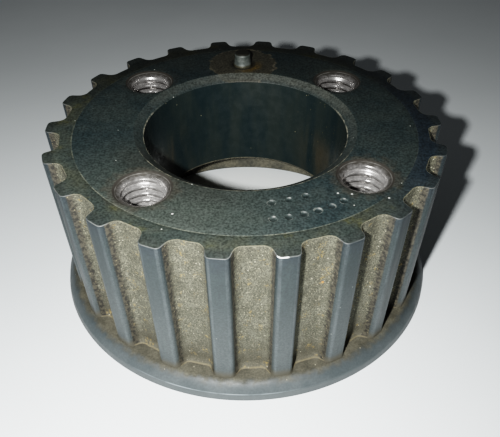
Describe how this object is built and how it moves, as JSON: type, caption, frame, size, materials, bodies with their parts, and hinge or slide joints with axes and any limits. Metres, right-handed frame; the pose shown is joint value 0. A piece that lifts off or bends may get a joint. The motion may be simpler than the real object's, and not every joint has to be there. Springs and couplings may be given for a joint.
{
  "type": "timing belt pulley",
  "caption": "Steel timing belt pulley with trapezoidal teeth, one side flange, a wide hub bore, tapped mounting holes and a locating dowel in its end face.",
  "frame": {"origin": "on the pulley axis, in the plane of the flanged end face", "axes": "+Z along the pulley axis from the flanged end to the plain end face with the dowel; +Y from the axis to the dowel's side"},
  "size_m": [0.0706, 0.0706, 0.0316],
  "materials": {
    "sintered_steel": "dark phosphated steel, dusty in the tooth gaps and rubbed bright on the tooth lands",
    "flange_steel": "dark blue-grey steel with a dusty olive film inside the rim",
    "dowel_steel": "ground steel with a stained end"
  },
  "bodies": {
    "root": {"toothed_body": "sintered_steel", "flange_ring": "flange_steel", "locating_dowel": "dowel_steel"}
  },
  "joints": []
}
